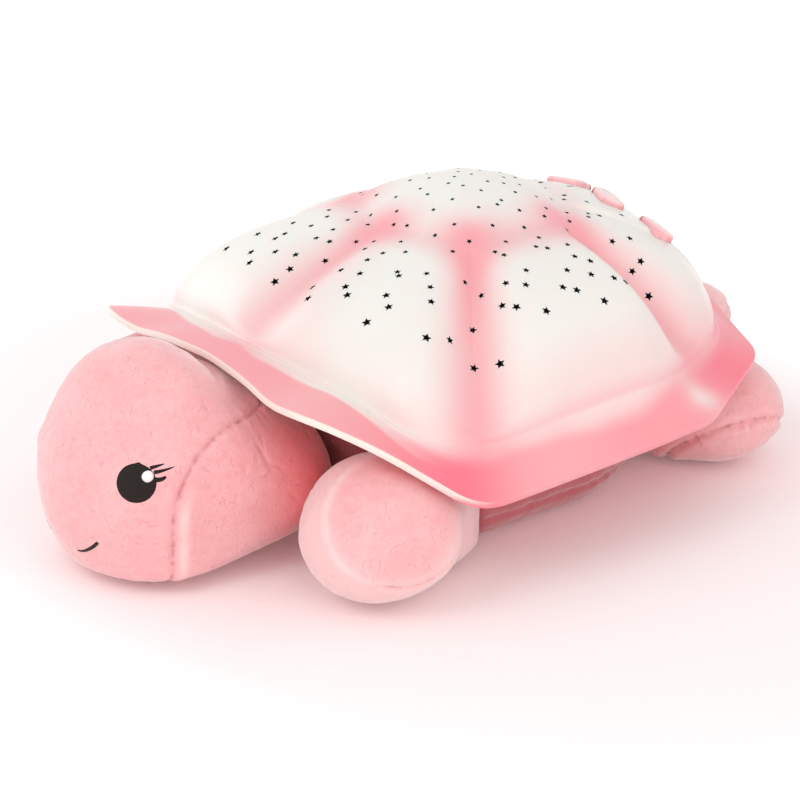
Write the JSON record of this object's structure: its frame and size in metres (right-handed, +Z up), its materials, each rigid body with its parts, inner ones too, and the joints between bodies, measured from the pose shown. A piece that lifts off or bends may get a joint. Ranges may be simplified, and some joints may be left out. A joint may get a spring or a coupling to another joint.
{
  "type": "star night light projector",
  "caption": "Plush turtle night light: a translucent shell pierced with stars over a battery lamp, on a stuffed body with head, flippers and tail.",
  "frame": {"origin": "centre of the plan box on the surface that the turtle lies on", "axes": "+Z up, -Y the way the turtle faces, +X its left side"},
  "size_m": [0.2544, 0.3806, 0.1415],
  "materials": {
    "shell": "satin translucent moulding, cream with pink sprayed into the valleys and the brim",
    "casing": "white moulded plastic with a fine spark texture",
    "button": "soft pink moulded cap",
    "steel": "zinc-plated",
    "black_plastic": "black moulded",
    "circuit_board": "green solder mask",
    "lamp_board": "white solder mask",
    "amber_lens": "clear tinted epoxy",
    "green_lens": "clear tinted epoxy",
    "blue_lens": "clear tinted epoxy",
    "cell_jacket": "plain printed jacket, unlettered",
    "red_wire": "insulated wire",
    "white_wire": "insulated wire",
    "grey_wire": "insulated wire",
    "plush": "short-pile velour, salmon pink",
    "binding": "woven edging tape",
    "black_thread": "satin-stitch embroidery",
    "white_thread": "satin-stitch embroidery"
  },
  "bodies": {
    "root": {"shell_dome": "shell", "shell_base": "casing", "base_screws": "steel", "tact_switches": "black_plastic", "switch_boards": "circuit_board", "switch_screws": "steel", "main_board": "circuit_board", "board_components": "black_plastic", "board_screws": "steel", "lamp_post": "casing", "led_board": "lamp_board", "amber_led": "amber_lens", "green_led": "green_lens", "blue_led": "blue_lens", "battery_cells": "cell_jacket", "contact_springs": "steel", "contact_plates": "steel", "battery_leads": "red_wire", "lamp_leads": "white_wire", "switch_leads": "grey_wire", "belly_cushion": "plush", "belly_binding": "binding", "head": "plush", "tail": "plush", "left_eye": "black_thread", "right_eye": "black_thread", "eye_glints": "white_thread", "eyelashes": "black_thread", "mouth": "black_thread"},
    "power_button": {"power_button": "button"},
    "timer_button": {"timer_button": "button"},
    "left_colour_button": {"left_colour_button": "button"},
    "right_colour_button": {"right_colour_button": "button"},
    "battery_door": {"battery_door": "casing"},
    "front_door_screw": {"front_door_screw": "steel"},
    "rear_door_screw": {"rear_door_screw": "steel"},
    "front_left_flipper": {"front_left_flipper": "plush"},
    "front_right_flipper": {"front_right_flipper": "plush"},
    "rear_left_flipper": {"rear_left_flipper": "plush"},
    "rear_right_flipper": {"rear_right_flipper": "plush"}
  },
  "joints": [
    {"name": "power_button_press", "type": "slide", "parent": "root", "child": "power_button", "axis": [-0.1923, -0.5635, -0.8034], "range_m": [0, 0.0008], "stiffness_N_per_m": 400, "springref_m": -0.0012},
    {"name": "timer_button_press", "type": "slide", "parent": "root", "child": "timer_button", "axis": [0.1923, -0.5635, -0.8034], "range_m": [0, 0.0008], "stiffness_N_per_m": 400, "springref_m": -0.0012},
    {"name": "left_colour_button_press", "type": "slide", "parent": "root", "child": "left_colour_button", "axis": [-0.1687, -0.3902, -0.9051], "range_m": [0, 0.0008], "stiffness_N_per_m": 400, "springref_m": -0.0012},
    {"name": "right_colour_button_press", "type": "slide", "parent": "root", "child": "right_colour_button", "axis": [0.1687, -0.3902, -0.9051], "range_m": [0, 0.0008], "stiffness_N_per_m": 400, "springref_m": -0.0012},
    {"name": "battery_door_lift_off", "type": "slide", "parent": "root", "child": "battery_door", "axis": [0, 0, -1], "range_m": [0, 0.03]},
    {"name": "front_door_screw_turn", "type": "hinge", "parent": "battery_door", "child": "front_door_screw", "pos_m": [0, -0.005, 0.009], "axis": [0, 0, 1], "continuous": true},
    {"name": "rear_door_screw_turn", "type": "hinge", "parent": "battery_door", "child": "rear_door_screw", "pos_m": [0, 0.059, 0.009], "axis": [0, 0, 1], "continuous": true},
    {"name": "front_left_flipper_swing", "type": "hinge", "parent": "root", "child": "front_left_flipper", "pos_m": [0.072, -0.051, 0.03], "axis": [0, 0, 1], "range_deg": [-5, 6], "stiffness_Nm_per_rad": 0.12},
    {"name": "front_right_flipper_swing", "type": "hinge", "parent": "root", "child": "front_right_flipper", "pos_m": [-0.072, -0.051, 0.03], "axis": [0, 0, 1], "range_deg": [-6, 5], "stiffness_Nm_per_rad": 0.12},
    {"name": "rear_left_flipper_swing", "type": "hinge", "parent": "root", "child": "rear_left_flipper", "pos_m": [0.047, 0.112, 0.03], "axis": [0, 0, 1], "range_deg": [-8, 8], "stiffness_Nm_per_rad": 0.12},
    {"name": "rear_right_flipper_swing", "type": "hinge", "parent": "root", "child": "rear_right_flipper", "pos_m": [-0.047, 0.112, 0.03], "axis": [0, 0, 1], "range_deg": [-8, 8], "stiffness_Nm_per_rad": 0.12}
  ]
}
